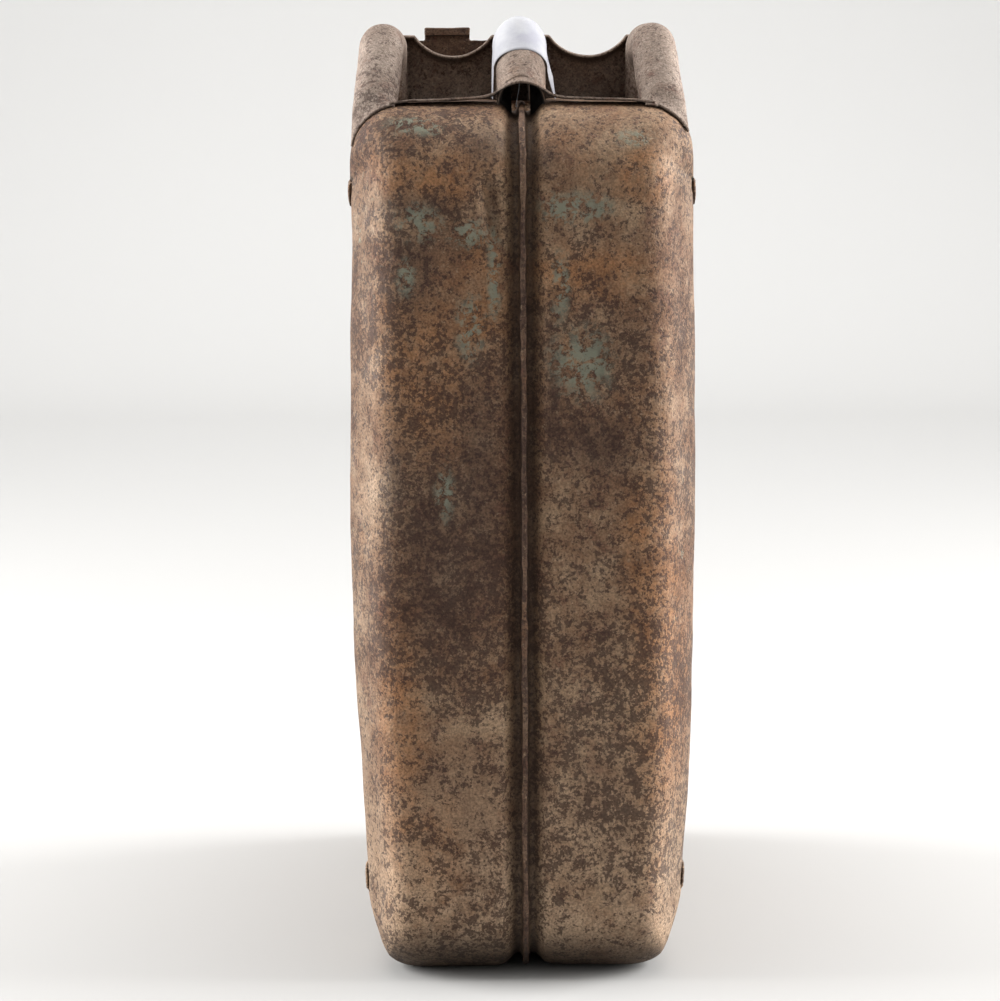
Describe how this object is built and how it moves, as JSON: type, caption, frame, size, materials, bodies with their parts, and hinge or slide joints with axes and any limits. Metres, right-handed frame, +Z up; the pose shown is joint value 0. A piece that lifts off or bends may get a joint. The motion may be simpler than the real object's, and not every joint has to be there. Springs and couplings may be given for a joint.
{
  "type": "jerry can",
  "caption": "Rusted steel fuel can of two welded pressed shells, with a three-bar carrying handle, a short tilted spout and a hinged lid held shut by a cam lever",
  "frame": {"origin": "centre of the box round the can, on the ground it stands on", "axes": "+X across the can's width, +Y from the plain narrow end to the spout end, +Z up"},
  "size_m": [0.166, 0.345, 0.4675],
  "materials": {
    "rusted_steel": "matt, rusted through old paint",
    "rusted_weld": "matt, rusted weld bead",
    "rusted_pin": "dull, worn and rusted",
    "gasket_rubber": "aged black rubber",
    "tag_paper": "plain white paper"
  },
  "bodies": {
    "can": {"shell_left": "rusted_steel", "shell_right": "rusted_steel", "seam_weld": "rusted_weld", "handle_unit": "rusted_steel", "handle_welds": "rusted_weld", "lid_catch": "rusted_steel", "neck_collar": "rusted_steel", "neck_tube": "rusted_steel", "neck_lugs": "rusted_steel", "hinge_bracket": "rusted_steel", "hinge_pin": "rusted_pin", "air_pipe": "rusted_steel", "air_pipe_bridge": "rusted_steel", "paper_tag": "tag_paper"},
    "lid": {"lid": "rusted_steel", "lid_strap": "rusted_steel", "lid_ears": "rusted_steel", "gasket": "gasket_rubber", "gasket_retainer": "rusted_steel", "retainer_rivet": "rusted_pin"},
    "lever": {"lever": "rusted_steel", "lever_pin": "rusted_pin"}
  },
  "joints": [
    {"name": "lid_hinge", "type": "hinge", "parent": "can", "child": "lid", "pos_m": [0, 0.06766, 0.42912], "axis": [1, 0, 0], "range_deg": [0, 105]},
    {"name": "lever_pivot", "type": "hinge", "parent": "lid", "child": "lever", "pos_m": [0, 0.13181, 0.42406], "axis": [1, 0, 0], "range_deg": [0, 110]}
  ]
}
